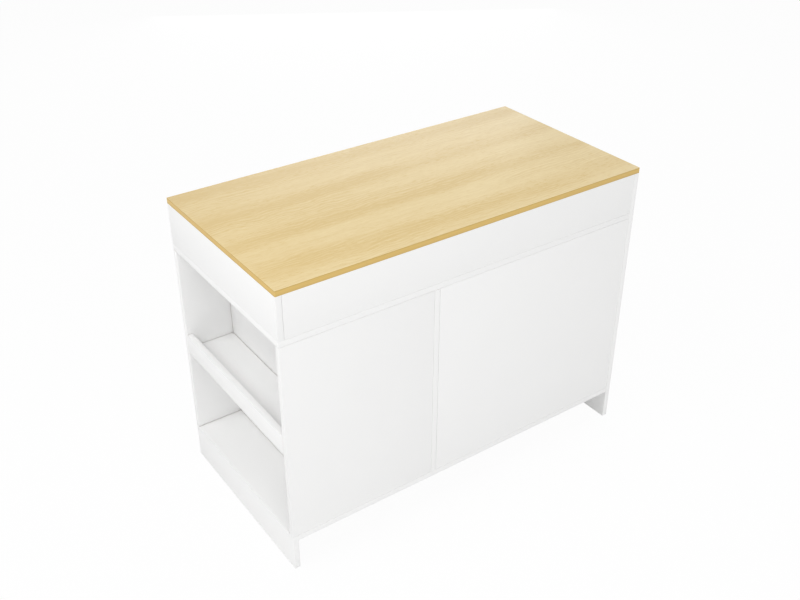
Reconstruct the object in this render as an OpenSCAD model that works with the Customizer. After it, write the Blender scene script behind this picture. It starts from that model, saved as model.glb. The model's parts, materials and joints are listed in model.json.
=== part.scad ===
// Kitchen island unit: a long cabinet with a wood-look worktop, three drawers over a wide and a narrow
// cupboard, and an open storage bay let into one end. X runs along the worktop, Y from the door side to
// the plain panelled side, Z up. The origin is on the floor under the middle of the unit.
// Millimetres.

/* [Overall] */
// Length of the unit along the worktop
unit_length = 1200; // [1100:10:1300]
// Depth of the unit from the doors to the plain side
unit_depth = 600; // [580:10:700]
// Height of the worktop's top face above the floor
unit_height = 900; // [880:10:960]

/* [Boards] */
// Thickness of every carcass board, door and drawer front
board_t = 17; // [15:1:19]
// Thickness of the worktop
worktop_t = 17; // [15:1:38]
// Gap between a panel of the plain side and the boards round it
panel_gap = 0.6; // [0.3:0.1:1.2]
// Gap left open along the inner joints of the bay
joint_gap = 1; // [0.2:0.1:1.2]
// Gap round each door and drawer front
front_gap = 2; // [1.5:0.5:4]

/* [Layout] */
// Clear height under the carcass
foot_height = 100; // [60:5:140]
// Clear height of the drawer openings
drawer_zone = 126; // [120:2:160]
// Clear width of the cupboard with two doors
wide_opening = 700; // [640:10:740]
// Depth of the open bay, measured in from the end of the unit
bay_depth = 146; // [120:2:180]
// Height of the bay shelf's top face above the floor
bay_shelf_height = 415; // [350:5:480]
// Height of the guard rail, from the underside of the bay shelf
rail_height = 62; // [40:2:90]

/* [Cupboard shelves] */
// Height of the cupboard shelves' underside above the floor
shelf_height = 410; // [340:5:460]
// Side clearance of a loose shelf
shelf_gap = 0.8; // [0.5:0.1:2]
// Distance from the back of the doors to the front edge of a shelf
shelf_setback = 20; // [16:2:60]
// Distance of the pin rows from the front and back edges of a shelf
pin_inset = 50; // [35:5:90]
// Diameter of a shelf pin's hole
pin_d = 5; // [4:0.5:6]
// Depth of a shelf pin's hole
pin_hole_depth = 8; // [6:0.5:8]
// Spacing of the holes in a pin row
pin_pitch = 64; // [32:32:96]

/* [Drawers] */
// Thickness of a drawer's sides and back
drawer_side_t = 12; // [10:1:15]
// Height of a drawer's sides
drawer_side_h = 90; // [70:5:95]
// Clearance under a drawer's sides
drawer_lift = 12; // [8:1:15]
// Length of a drawer box behind its front
drawer_length = 480; // [460:10:520]
// Thickness of a drawer's bottom
drawer_bottom_t = 3; // [3:1:6]
// Depth of the grooves that hold a drawer's bottom
groove_depth = 5; // [4:0.5:6]
// Diameter of the cams that hold a drawer's front
drawer_cam_d = 12; // [10:0.5:12]
// Distance from those cams' middle to the front
drawer_cam_reach = 24; // [20:1:30]
// Height of the bottom's groove above the lower edge of the sides
groove_lift = 9; // [6:1:14]

/* [Drawer runners] */
// Length of each runner member
runner_length = 450; // [400:10:450]
// Side space taken by a closed runner
runner_t = 12.7; // [12.4:0.1:14]
// Height of the runner's outer member
runner_h = 45; // [35:1:46]
// Sheet thickness of the runner members
runner_sheet = 1.2; // [1:0.1:1.5]
// Running gap between nested runner members
runner_gap = 0.3; // [0.2:0.1:0.5]
// Distance of a runner's front end behind the drawer front
runner_setback = 3; // [2:1:10]
// Length of the adjusting slots in the runners' webs
slot_length = 16; // [8:1:20]

/* [Hinges and catches] */
// Height of a hinge
hinge_h = 60; // [40:5:80]
// Distance of a hinge from the door's top or bottom edge
hinge_inset = 60; // [40:5:100]
// Outer diameter of a hinge's knuckles
knuckle_d = 5; // [4:0.5:6]
// Diameter of a hinge's pin
hinge_pin_d = 2.4; // [2:0.2:3]
// Number of knuckles in a hinge, both leaves together
knuckles = 5; // [3:2:7]
// Width of a hinge leaf behind the front face
leaf_w = 14; // [10:1:16]
// Gap between the knuckles and the front faces, and between knuckles
hinge_gap = 0.3; // [0.2:0.1:0.5]
// Size of a magnetic catch along the door
catch_w = 30; // [24:1:36]
// Depth of a magnetic catch behind the strike plate
catch_depth = 14; // [10:1:20]
// Height of a magnetic catch
catch_h = 12; // [8:1:16]
// Thickness of a strike plate
strike_t = 1; // [0.8:0.1:2]

/* [Finger grips] */
// Width of the finger cut-out in a door or drawer front
grip_w = 110; // [80:5:130]
// Depth of the finger cut-out
grip_depth = 22; // [18:1:26]
// Corner radius of the finger cut-out
grip_r = 10; // [6:1:14]
// Distance from a door's free edge to the near end of its finger cut-out
grip_inset = 50; // [45:1:70]

/* [Board fittings] */
// Diameter of a cam lock
cam_d = 15; // [12:1:16]
// Depth of a cam lock
cam_depth = 12.5; // [11:0.5:13]
// Distance from the cam's middle to the board that takes the bolt
cam_reach = 34; // [24:1:36]
// Diameter of a cam bolt's smooth shank
bolt_d = 6.8; // [5:0.2:7]
// Diameter of the bore round the shank
bolt_bore = 8; // [7.5:0.1:8.5]
// Diameter of the bolt's threaded end
thread_d = 6; // [5:0.2:6.4]
// Length of the bolt's threaded end
thread_length = 11; // [9:0.5:12]
// Diameter of a wooden dowel
dowel_d = 8; // [6:1:8]
// Length of a dowel in the board's edge
dowel_edge = 18; // [15:1:22]
// Length of a dowel in the face of the other board
dowel_face = 11; // [8:1:12]
// Clearance of a fitting in its bore, all round
fit = 0.05; // [0.02:0.01:0.1]
// Diameter of the runners' and drawer boxes' screws
screw_d = 3.5; // [3:0.5:4]
// Diameter of the hinges', strikes' and catches' screws
small_screw_d = 2.6; // [2:0.2:3]
// Length of the screws that hold the cabinet members of the runners
runner_screw_length = 12; // [10:1:14]
// Length of the screws that hold the drawer members of the runners
member_screw_length = 9; // [7:1:10]
// Length of the screws that hold the hinge leaves
hinge_screw_length = 12; // [10:1:14]
// Length of the screws that hold the strikes
strike_screw_length = 11; // [9:1:13]
// Length of the catches' screws in the board above
catch_screw_grip = 9; // [7:1:11]
// Length of the screws from a drawer's sides in its back
back_screw_grip = 24; // [20:1:30]
// Depth of a countersunk head in a board
countersink = 2; // [1.5:0.1:2.5]
// Depth of a catch screw's head
catch_countersink = 1.5; // [1:0.1:2]
// Distance of the outermost joint along the depth from the carcass's face
edge_joint = 50; // [40:1:60]
// Distance of a joint along the height from the board above or below
end_joint = 70; // [60:1:80]
// Step between two joints that would meet in one board
joint_step = 40; // [36:1:46]
// Step along the depth between the runner screws of two neighbouring openings
screw_step = 32; // [28:1:36]
// Diameter of the bolts in the small cams of a drawer's front
drawer_bolt_d = 5; // [4:0.2:5]
// Thickness of the side left behind one of those cams
drawer_cam_skin = 2.5; // [2:0.1:4]
// Height of the lower cam above the lower edge of a drawer's side
drawer_cam_low = 25; // [23:1:30]
// Depth of the upper cam under the upper edge of a drawer's side
drawer_cam_high = 18; // [15:1:22]
// Height of the lower back screw above the lower edge of a drawer's side
back_screw_low = 30; // [25:1:35]
// Depth of the upper back screw under the upper edge of a drawer's side
back_screw_high = 20; // [15:1:25]

/* [Hidden] */
$fn = 48;

white = [0.94, 0.94, 0.93];
oak = [0.88, 0.79, 0.6];
steel = [0.72, 0.73, 0.75];
zinc = [0.62, 0.63, 0.66];
beech = [0.8, 0.66, 0.45];

// Planes of the carcass
x_end = unit_length / 2;
y_face = unit_depth / 2;
x_left = -x_end + board_t;
x_right = x_end - board_t;
y_in = y_face - board_t;
z_under_top = unit_height - worktop_t;
z_drawers = z_under_top - drawer_zone;
z_doors_top = z_drawers - board_t;
z_floor = foot_height + board_t;
x_part = x_left + wide_opening;
x_part_far = x_part + board_t;
x_bay = x_end - bay_depth;
x_bay_back = x_bay - board_t;
x_split = x_left + (wide_opening - board_t) / 2;
z_bay_shelf = bay_shelf_height - board_t;

// Openings of the drawers and of the doors along X
drawer_x = [[x_left, x_split], [x_split + board_t, x_part], [x_part_far, x_right]];
x_meet = (x_left + x_part) / 2;
door_x = [
    [x_left + front_gap, x_meet - front_gap / 2],
    [x_meet + front_gap / 2, x_part - front_gap],
    [x_part_far + front_gap, x_bay_back - front_gap]
];
// The side of each door that carries its hinges: -1 on the left, 1 on the right
door_side = [-1, 1, 1];
door_z = [z_floor + front_gap, z_doors_top - front_gap];
front_z = [z_drawers + front_gap, z_under_top - front_gap];
hinge_z = [door_z[0] + hinge_inset, door_z[1] - hinge_inset - hinge_h];
leaf_t = front_gap / 2;
knuckle_y = -y_face - knuckle_d / 2 - hinge_gap;

// Drawer boxes
side_z = [z_drawers + drawer_lift, z_drawers + drawer_lift + drawer_side_h];
box_y = [-y_in, -y_in + drawer_length];
bottom_z = side_z[0] + groove_lift;
runner_z = (side_z[0] + side_z[1]) / 2;
runner_y = -y_in + runner_setback;
shelf_y = [-y_in + shelf_setback, y_in - shelf_gap];
pin_y = [shelf_y[0] + pin_inset, shelf_y[1] - pin_inset];
pin_z = shelf_height - pin_d / 2;

// Places along the depth and height where boards are fastened
edge_y = y_face - edge_joint;
mid_y = unit_depth / 6;
low_z = z_floor + end_joint;
high_z = z_doors_top - end_joint;

// A board joint is [point on the seam, turn]: local +X enters the board that takes the bolt or the short
// end of the dowel, and local +Z points to the face that shows the cam.
LEFT_DOWN = [0, 180, 0];
UP_RIGHT = [180, -90, 0];
UP_LEFT = [0, -90, 0];
UP_IN = [0, -90, 90];
DOWN_RIGHT = [0, 90, 0];
DOWN_LEFT = [180, 90, 0];
LEFT_IN = [-90, 0, 180];
RIGHT_IN = [90, 0, 0];
BACK_LEFT = [-90, 0, 90];
FRONT_LEFT = [90, 0, -90];
FRONT_RIGHT = [-90, 0, -90];

function at_ys(x, ys, z, turn) = [for (y = ys) [[x, y, z], turn]];
function at_zs(x, y, zs, turn) = [for (z = zs) [[x, y, z], turn]];

three_ys = [-edge_y, 0, edge_y];
half_t = board_t / 2;
top_z = (z_drawers + z_under_top) / 2;

cams_left = concat(
    at_ys(x_left, three_ys, z_doors_top + half_t, LEFT_DOWN),
    at_ys(x_left, three_ys, foot_height + half_t, LEFT_DOWN),
    at_zs(x_left, y_in + half_t, [low_z, high_z, top_z], LEFT_IN));
cams_part_top = at_ys(x_part + half_t, [-mid_y, mid_y], z_doors_top, UP_RIGHT);
cams_part_foot = at_ys(x_part + half_t, [-mid_y, mid_y], z_floor, DOWN_RIGHT);
cams_bay_top = at_ys(x_bay_back + half_t, [-mid_y, mid_y], z_doors_top, UP_LEFT);
cams_bay_foot = at_ys(x_bay_back + half_t, [-mid_y, mid_y], z_floor, DOWN_LEFT);
cams_bay_back = at_zs(x_bay_back + half_t, y_in, [low_z, high_z], BACK_LEFT);
cams_bay_front = at_zs(x_bay_back + half_t, -y_in, [low_z, high_z], FRONT_LEFT);
cams_wide_panel = at_zs(x_part, y_in + half_t, [low_z, high_z], RIGHT_IN);
cams_narrow_panel = at_zs(x_part_far, y_in + half_t, [low_z + joint_step, high_z - joint_step], LEFT_IN);
cams_top_panel = at_zs(x_right, y_in + half_t, [top_z], RIGHT_IN);
cams_apron = at_ys(x_right + half_t, three_ys, z_drawers, DOWN_LEFT);
cams_plinth = at_ys(x_right + half_t, three_ys, foot_height, UP_LEFT);
cams_shelf = at_ys(x_bay, [-mid_y, mid_y], z_bay_shelf + half_t, LEFT_DOWN);
cams_split_foot = at_ys(x_split + half_t, [-mid_y - joint_step, mid_y + joint_step], z_drawers, DOWN_RIGHT);
cams_stand_foot = at_ys(x_part + half_t, [-mid_y - joint_step, mid_y + joint_step], z_drawers, DOWN_RIGHT);
cams_worktop = concat(
    at_ys(-x_end + half_t, [-edge_y, edge_y], z_under_top, UP_RIGHT),
    at_ys(x_right + half_t, [-edge_y, edge_y], z_under_top, UP_LEFT),
    at_ys(x_split + half_t, [edge_y - joint_step], z_under_top, UP_RIGHT),
    at_ys(x_part + half_t, [edge_y - joint_step], z_under_top, UP_RIGHT),
    [for (x = [x_left / 2, x_right / 2]) [[x, y_in + half_t, z_under_top], UP_IN]]);
all_cams = concat(cams_left, cams_part_top, cams_part_foot, cams_bay_top, cams_bay_foot, cams_bay_back,
    cams_bay_front, cams_wide_panel, cams_narrow_panel, cams_top_panel, cams_apron, cams_plinth, cams_shelf,
    cams_split_foot, cams_stand_foot, cams_worktop);

// Dowels: the same kind of list
dowels_part = concat(
    at_ys(x_part + half_t, [0], z_doors_top, UP_RIGHT),
    at_ys(x_part + half_t, [0], z_floor, DOWN_RIGHT));
dowels_bay = concat(
    at_ys(x_bay_back + half_t, [0], z_doors_top, UP_LEFT),
    at_ys(x_bay_back + half_t, [0], z_floor, DOWN_LEFT));
panel_mid_x = (x_left + x_part) / 2;
dowel_x = [x_part_far + joint_step, x_bay + bay_depth / 2];
dowels_wide = concat(
    [for (x = [x_left + joint_step, panel_mid_x, x_part - joint_step]) [[x, y_in + half_t, z_floor], DOWN_RIGHT]],
    [for (x = [x_left + joint_step, panel_mid_x, x_part - joint_step]) [[x, y_in + half_t, z_doors_top], UP_RIGHT]]);
dowels_narrow = concat(
    [for (x = dowel_x) [[x, y_in + half_t, z_floor], DOWN_RIGHT]],
    [for (x = dowel_x) [[x, y_in + half_t, z_doors_top], UP_RIGHT]]);
dowels_bay_front = concat(
    [[[x_bay + bay_depth / 2, -y_in - half_t, z_floor], DOWN_RIGHT]],
    [[[x_bay + bay_depth / 2, -y_in - half_t, z_doors_top], UP_RIGHT]]);
dowels_top_panel = [for (x = [x_left / 2, x_right / 2]) [[x, y_in + half_t, z_drawers], DOWN_RIGHT]];
dowels_shelf_back = [[[(x_bay + x_right) / 2, y_in, z_bay_shelf + half_t], BACK_LEFT]];
dowels_shelf_front = [[[(x_bay + x_right) / 2, -y_in, z_bay_shelf + half_t], FRONT_LEFT]];
rail_dowel_z = z_bay_shelf + rail_height * 2 / 3;
dowels_rail_back = [[[x_right + half_t, y_in, rail_dowel_z], BACK_LEFT]];
dowels_rail_front = [[[x_right + half_t, -y_in, rail_dowel_z], FRONT_LEFT]];
dowels_rail_shelf = at_ys(x_right, [-mid_y, mid_y], z_bay_shelf + half_t, RIGHT_IN);
all_dowels = concat(dowels_part, dowels_bay, dowels_wide, dowels_narrow, dowels_bay_front, dowels_top_panel,
    dowels_shelf_back, dowels_shelf_front, dowels_rail_back, dowels_rail_front, dowels_rail_shelf);

// ---- Shared shapes ----

// A board between two X, two Y and two Z planes
module slab(x, y, z) {
    translate([x[0], y[0], z[0]])
        cube([x[1] - x[0], y[1] - y[0], z[1] - z[0]]);
}

module place(joint) {
    translate(joint[0]) rotate(joint[1]) children();
}

// A rod along local X from x0 to x1
module rod(d, x0, x1) {
    translate([x0, 0, 0]) rotate([0, 90, 0]) cylinder(d = d, h = x1 - x0);
}

// The pocket, shank bore and pilot hole of one cam joint
module cam_cut() {
    translate([-cam_reach, 0, half_t - cam_depth]) cylinder(d = cam_d + 2 * fit, h = cam_depth + 1);
    rod(bolt_bore, -cam_reach, 0);
    rod(thread_d + 2 * fit, 0, thread_length + fit);
}

// A countersunk screw along local +X with its flat head at X = 0: each diameter and the length grow by spare
// for the hole that takes it
module screw(d, sink, length, spare) {
    rotate([0, 90, 0]) cylinder(d1 = d + 2 * sink + 2 * spare, d2 = d + 2 * spare, h = sink, $fn = 24);
    translate([sink, 0, 0]) rotate([0, 90, 0]) cylinder(d = d + 2 * spare, h = length - sink + spare, $fn = 24);
}

module turned(point, turn) {
    translate(point) rotate([0, 0, turn]) children();
}

module dowel_cut() {
    rod(dowel_d + 2 * fit, -dowel_edge - fit, dowel_face + fit);
}

// A board with the bores of the joints that reach it
module bored(cams, pegs) {
    difference() {
        children();
        for (joint = cams) place(joint) cam_cut();
        for (joint = pegs) place(joint) dowel_cut();
    }
}

// The rows of shelf pin holes in an upright; side is the way from its face into the cupboard
module pin_holes(x_wall, side) {
    for (y = pin_y, step = [-1, 0, 1])
        translate([x_wall, y, pin_z + step * pin_pitch])
            rod(pin_d, side < 0 ? 0 : -pin_hole_depth, side < 0 ? pin_hole_depth : 0);
}

// ---- Carcass ----

module worktop() {
    color(oak) bored(cams_worktop, [])
        slab([-x_end, x_end], [-y_face, y_face], [z_under_top, unit_height]);
}

module left_side_board() {
    color(white) bored(concat(cams_left, cams_worktop), []) difference() {
        slab([-x_end, x_left], [-y_face, y_face], [0, z_under_top]);
        pin_holes(x_left, 1);
        runner_screws(drawer_x[0], fit);
        at_hinges(0) frame_leaf_screws(fit);
    }
}

module end_apron() {
    color(white) bored(concat(cams_apron, cams_worktop, cams_top_panel), []) difference() {
        slab([x_right, x_end], [-y_face, y_face], [z_drawers, z_under_top]);
        runner_screws(drawer_x[2], fit);
    }
}

module divider_board() {
    color(white) bored(
        concat(cams_left, cams_part_top, cams_bay_top, cams_apron, cams_split_foot, cams_stand_foot),
        concat(dowels_part, dowels_bay, dowels_wide, dowels_narrow, dowels_bay_front, dowels_top_panel))
        difference() {
            slab([x_left, x_end], [-y_face, y_face], [z_doors_top, z_drawers]);
            catch_screws(fit);
        }
}

module bottom_board() {
    color(white) bored(
        concat(cams_left, cams_part_foot, cams_bay_foot, cams_plinth),
        concat(dowels_part, dowels_bay, dowels_wide, dowels_narrow, dowels_bay_front))
        slab([x_left, x_end], [-y_face, y_face], [foot_height, z_floor]);
}

module end_plinth() {
    color(white) bored(cams_plinth, [])
        slab([x_right, x_end], [-y_face, y_face], [0, foot_height]);
}

module partition_board() {
    color(white) bored(concat(cams_part_top, cams_part_foot, cams_wide_panel, cams_narrow_panel), dowels_part)
        difference() {
            slab([x_part, x_part_far], [-y_face, y_face], [z_floor, z_doors_top]);
            pin_holes(x_part, -1);
            pin_holes(x_part_far, 1);
            at_hinges(1) frame_leaf_screws(fit);
        }
}

module bay_back_board() {
    color(white) bored(
        concat(cams_bay_top, cams_bay_foot, cams_bay_back, cams_bay_front, cams_shelf), dowels_bay)
        difference() {
            slab([x_bay_back, x_bay], [-y_in + joint_gap, y_in], [z_floor + joint_gap, z_doors_top]);
            pin_holes(x_bay_back, -1);
        }
}

module bay_front_board() {
    color(white) bored(cams_bay_front, concat(dowels_bay_front, dowels_shelf_front, dowels_rail_front))
        difference() {
            slab([x_bay_back, x_end], [-y_face, -y_in], [z_floor + joint_gap, z_doors_top]);
            at_hinges(2) frame_leaf_screws(fit);
        }
}

module back_panel_narrow() {
    color(white) bored(
        concat(cams_narrow_panel, cams_bay_back), concat(dowels_narrow, dowels_shelf_back, dowels_rail_back))
        slab([x_part_far + panel_gap, x_end], [y_in, y_face], [z_floor + panel_gap, z_doors_top - panel_gap]);
}

module back_panel_wide() {
    color(white) bored(concat(cams_left, cams_wide_panel), dowels_wide)
        slab([x_left + panel_gap, x_part - panel_gap], [y_in, y_face],
            [z_floor + panel_gap, z_doors_top - panel_gap]);
}

module back_panel_top() {
    color(white) bored(concat(cams_left, cams_top_panel, cams_worktop), dowels_top_panel)
        slab([x_left + panel_gap, x_right - panel_gap], [y_in, y_face], [z_drawers + panel_gap, z_under_top]);
}

module bay_shelf() {
    color(white) bored(cams_shelf, concat(dowels_shelf_back, dowels_shelf_front, dowels_rail_shelf))
        slab([x_bay + joint_gap, x_right], [-y_in + joint_gap, y_in], [z_bay_shelf, bay_shelf_height]);
}

module bay_rail() {
    color(white) bored([], concat(dowels_rail_back, dowels_rail_front, dowels_rail_shelf))
        slab([x_right, x_end], [-y_in + joint_gap, y_in], [z_bay_shelf, z_bay_shelf + rail_height]);
}

module drawer_partition(x, cams) {
    color(white) bored(concat(cams, cams_worktop), []) difference() {
        slab([x, x + board_t], [-y_face, y_in], [z_drawers, z_under_top]);
        for (i = [0, 1, 2]) runner_screws(drawer_x[i], fit);
    }
}

module drawer_partition_left() { drawer_partition(x_split, cams_split_foot); }
module drawer_partition_right() { drawer_partition(x_part, cams_stand_foot); }

// ---- Loose shelves and their pins ----

module cupboard_shelf(x) {
    color(white) slab([x[0] + shelf_gap, x[1] - shelf_gap], shelf_y, [shelf_height, shelf_height + board_t]);
}

module wide_shelf() { cupboard_shelf([x_left, x_part]); }
module narrow_shelf() { cupboard_shelf([x_part_far, x_bay_back]); }

// A peg with a flat spade under the shelf; side is the way into the cupboard
module shelf_pin(side) {
    spade_l = 9;
    spade_w = 10;
    spade_t = 2;
    mirror([side < 0 ? 1 : 0, 0, 0]) {
        rod(pin_d - 2 * fit, -pin_hole_depth + 0.5, spade_l);
        translate([0, -spade_w / 2, pin_d / 2 - spade_t]) cube([spade_l, spade_w, spade_t]);
    }
}

module shelf_pins() {
    color(steel) for (y = pin_y) {
        translate([x_left, y, pin_z]) shelf_pin(1);
        translate([x_part, y, pin_z]) shelf_pin(-1);
        translate([x_part_far, y, pin_z]) shelf_pin(1);
        translate([x_bay_back, y, pin_z]) shelf_pin(-1);
    }
}

// ---- Board fittings ----

module dowels() {
    color(beech) for (joint = all_dowels) place(joint) rod(dowel_d, -dowel_edge, dowel_face);
}

// A cam with the side bore for the bolt's head and a cross slot in its face
module cam_lock() {
    slot_w = 1.6;
    slot_l = 8;
    slot_depth = 2;
    translate([-cam_reach, 0, 0]) difference() {
        translate([0, 0, half_t - cam_depth]) cylinder(d = cam_d, h = cam_depth);
        rod(bolt_d + 0.4, -bolt_d / 2, cam_d);
        for (turn = [0, 90]) rotate([0, 0, turn])
            translate([-slot_l / 2, -slot_w / 2, half_t - slot_depth]) cube([slot_l, slot_w, slot_depth + 1]);
    }
}

module cam_locks() {
    color(zinc) for (joint = all_cams) place(joint) cam_lock();
}

// A bolt with a threaded end, a smooth shank, and a waist behind its round head
module cam_bolt() {
    head_l = 3;
    waist_l = 3;
    waist_d = bolt_d * 0.6;
    rod(thread_d, 0, thread_length);
    rod(bolt_d, -cam_reach + head_l + waist_l, 0);
    rod(waist_d, -cam_reach + head_l, -cam_reach + head_l + waist_l);
    rod(bolt_d, -cam_reach, -cam_reach + head_l);
}

module cam_bolts() {
    color(steel) for (joint = all_cams) place(joint) cam_bolt();
}

// ---- Drawer runners ----

// A channel of folded sheet along Y, against the wall X = 0: its web from p0, its flanges out to p1
module channel(p0, p1, h) {
    web = p1 > p0 ? [p0, p0 + runner_sheet] : [p0 - runner_sheet, p0];
    lo = min(p0, p1);
    hi = max(p0, p1);
    union() {
        slab(web, [0, runner_length], [-h / 2, h / 2]);
        slab([lo, hi], [0, runner_length], [h / 2 - runner_sheet, h / 2]);
        slab([lo, hi], [0, runner_length], [-h / 2, -h / 2 + runner_sheet]);
    }
}

// Slots for adjusting screws: rows of round-ended cuts through the web, at parts of the runner's length
module adjusting_slots(parts) {
    slot_w = 4.5;
    for (part = parts) translate([0, part * runner_length, 0]) {
        slab([-1, runner_t + 1], [-slot_length / 2, slot_length / 2], [-slot_w / 2, slot_w / 2]);
        for (side = [-1, 1]) translate([0, side * slot_length / 2, 0])
            rotate([0, 90, 0]) translate([0, 0, -1]) cylinder(d = slot_w, h = runner_t + 2);
    }
}

nest = runner_sheet + runner_gap;
module cabinet_member() {
    difference() {
        channel(0, runner_t - 2 * nest, runner_h);
        adjusting_slots([0.25, 0.65, 0.96]);
    }
}

// The middle member has oblong windows that lighten its web
module middle_member() {
    window_l = 60;
    window_h = 14;
    difference() {
        channel(nest, runner_t - nest, runner_h - 2 * nest);
        for (part = [0.2, 0.4, 0.6, 0.8])
            slab([-1, runner_t + 1], [part * runner_length - window_l / 2, part * runner_length + window_l / 2],
                [-window_h / 2, window_h / 2]);
    }
}

module drawer_member() {
    difference() {
        channel(runner_t, 2 * nest + runner_sheet, runner_h - 4 * nest);
        adjusting_slots([0.3, 0.7]);
    }
}

// One member on both sides of an opening
module runner_pair(x) {
    translate([x[0], runner_y, runner_z]) children();
    translate([x[1], runner_y, runner_z]) mirror([1, 0, 0]) children();
}

// Screws sit further back on the right wall of an opening, so that those of two openings miss each other
// in the board between them
function screw_ys(side) =
    [for (part = [0.08, 0.45, 0.82]) runner_y + part * runner_length + (side > 0 ? screw_step : 0)];

// The screws of both cabinet members of an opening
module runner_screws(x, spare) {
    for (y = screw_ys(-1)) turned([x[0] + runner_sheet, y, runner_z], 180)
        screw(screw_d, runner_sheet, runner_screw_length, spare);
    for (y = screw_ys(1)) turned([x[1] - runner_sheet, y, runner_z], 0)
        screw(screw_d, runner_sheet, runner_screw_length, spare);
}

// The screws of both drawer members of an opening
module member_screws(x, spare) {
    for (y = screw_ys(-1)) turned([x[0] + runner_t - runner_sheet, y, runner_z], 0)
        screw(screw_d, runner_sheet, member_screw_length, spare);
    for (y = screw_ys(1)) turned([x[1] - runner_t + runner_sheet, y, runner_z], 180)
        screw(screw_d, runner_sheet, member_screw_length, spare);
}

module cabinet_runners() {
    color(steel) difference() {
        for (x = drawer_x) runner_pair(x) cabinet_member();
        for (x = drawer_x) runner_screws(x, fit);
    }
}

// ---- Drawers ----

// The finger cut-out, hanging from the top edge of a front, its middle at X = 0
module grip_cut() {
    over = front_gap + 1;
    for (x = [-1, 1]) translate([x * (grip_w / 2 - grip_r), 1, grip_r - grip_depth])
        rotate([90, 0, 0]) cylinder(r = grip_r, h = board_t + 2);
    translate([-grip_w / 2, -board_t - 1, grip_r - grip_depth])
        cube([grip_w, board_t + 2, grip_depth - grip_r + over]);
    translate([-grip_w / 2 + grip_r, -board_t - 1, -grip_depth])
        cube([grip_w - 2 * grip_r, board_t + 2, grip_depth + over]);
}

function box_x(x) = [x[0] + runner_t, x[1] - runner_t];

// The groove that a drawer's bottom slides into
module bottom_groove(x) {
    slab([box_x(x)[0] + drawer_side_t - groove_depth, box_x(x)[1] - drawer_side_t + groove_depth],
        [box_y[0] - groove_depth, box_y[1] + 1], [bottom_z, bottom_z + drawer_bottom_t]);
}

// The joints of a drawer's front with its sides: the cams show on the inside of the sides
drawer_cam_z = [side_z[0] + drawer_cam_low, side_z[1] - drawer_cam_high];
function drawer_joints(x) = concat(
    at_zs(box_x(x)[0] + drawer_side_t / 2, box_y[0], drawer_cam_z, FRONT_RIGHT),
    at_zs(box_x(x)[1] - drawer_side_t / 2, box_y[0], drawer_cam_z, FRONT_LEFT));
drawer_cam_depth = drawer_side_t - drawer_cam_skin;

module drawer_cam_cuts(x) {
    for (joint = drawer_joints(x)) place(joint) {
        translate([-drawer_cam_reach, 0, drawer_side_t / 2 - drawer_cam_depth])
            cylinder(d = drawer_cam_d + 2 * fit, h = drawer_cam_depth + 1);
        rod(drawer_bolt_d + 1, -drawer_cam_reach, 0);
        rod(drawer_bolt_d + 2 * fit, 0, thread_length + fit);
    }
}

// The long screws through the sides into the back
module back_screws(x, spare) {
    y = box_y[1] - drawer_side_t / 2;
    for (z = [side_z[0] + back_screw_low, side_z[1] - back_screw_high]) {
        turned([box_x(x)[0], y, z], 0) screw(screw_d, countersink, drawer_side_t + back_screw_grip, spare);
        turned([box_x(x)[1], y, z], 180) screw(screw_d, countersink, drawer_side_t + back_screw_grip, spare);
    }
}

module drawer_front(x) {
    color(white) difference() {
        slab([x[0] + front_gap, x[1] - front_gap], [-y_face, -y_in], front_z);
        translate([(x[0] + x[1]) / 2, -y_in, front_z[1]]) grip_cut();
        bottom_groove(x);
        drawer_cam_cuts(x);
    }
}

module drawer_sides(x) {
    color(white) difference() {
        union() {
            slab([box_x(x)[0], box_x(x)[0] + drawer_side_t], box_y, side_z);
            slab([box_x(x)[1] - drawer_side_t, box_x(x)[1]], box_y, side_z);
        }
        bottom_groove(x);
        drawer_cam_cuts(x);
        member_screws(x, fit);
        back_screws(x, fit);
    }
}

module drawer_back(x) {
    color(white) difference() {
        slab([box_x(x)[0] + drawer_side_t, box_x(x)[1] - drawer_side_t],
            [box_y[1] - drawer_side_t, box_y[1]], [bottom_z + drawer_bottom_t, side_z[1]]);
        back_screws(x, fit);
    }
}

// A small cam with a side bore for its bolt and one slot in its face
module drawer_cam() {
    slot_w = 1.4;
    slot_l = 7;
    slot_depth = 1.6;
    translate([-drawer_cam_reach, 0, 0]) difference() {
        translate([0, 0, drawer_side_t / 2 - drawer_cam_depth]) cylinder(d = drawer_cam_d, h = drawer_cam_depth);
        rod(drawer_bolt_d + 0.4, -drawer_bolt_d / 2, drawer_cam_d);
        translate([-slot_l / 2, -slot_w / 2, drawer_side_t / 2 - slot_depth])
            cube([slot_l, slot_w, slot_depth + 1]);
    }
}

// Every cam, bolt and screw that rides with a drawer
module drawer_fixings(x) {
    color(zinc) for (joint = drawer_joints(x)) place(joint) drawer_cam();
    color(steel) {
        for (joint = drawer_joints(x)) place(joint) rod(drawer_bolt_d, -drawer_cam_reach, thread_length);
        member_screws(x, 0);
        back_screws(x, 0);
    }
}

module drawer_bottom(x) {
    color(white) slab(
        [box_x(x)[0] + drawer_side_t - groove_depth, box_x(x)[1] - drawer_side_t + groove_depth],
        [box_y[0] - groove_depth, box_y[1]], [bottom_z, bottom_z + drawer_bottom_t]);
}

module drawer_runners(x) {
    color(steel) difference() {
        runner_pair(x) drawer_member();
        member_screws(x, fit);
    }
}

module middle_runners(x) { color(steel) runner_pair(x) middle_member(); }

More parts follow.
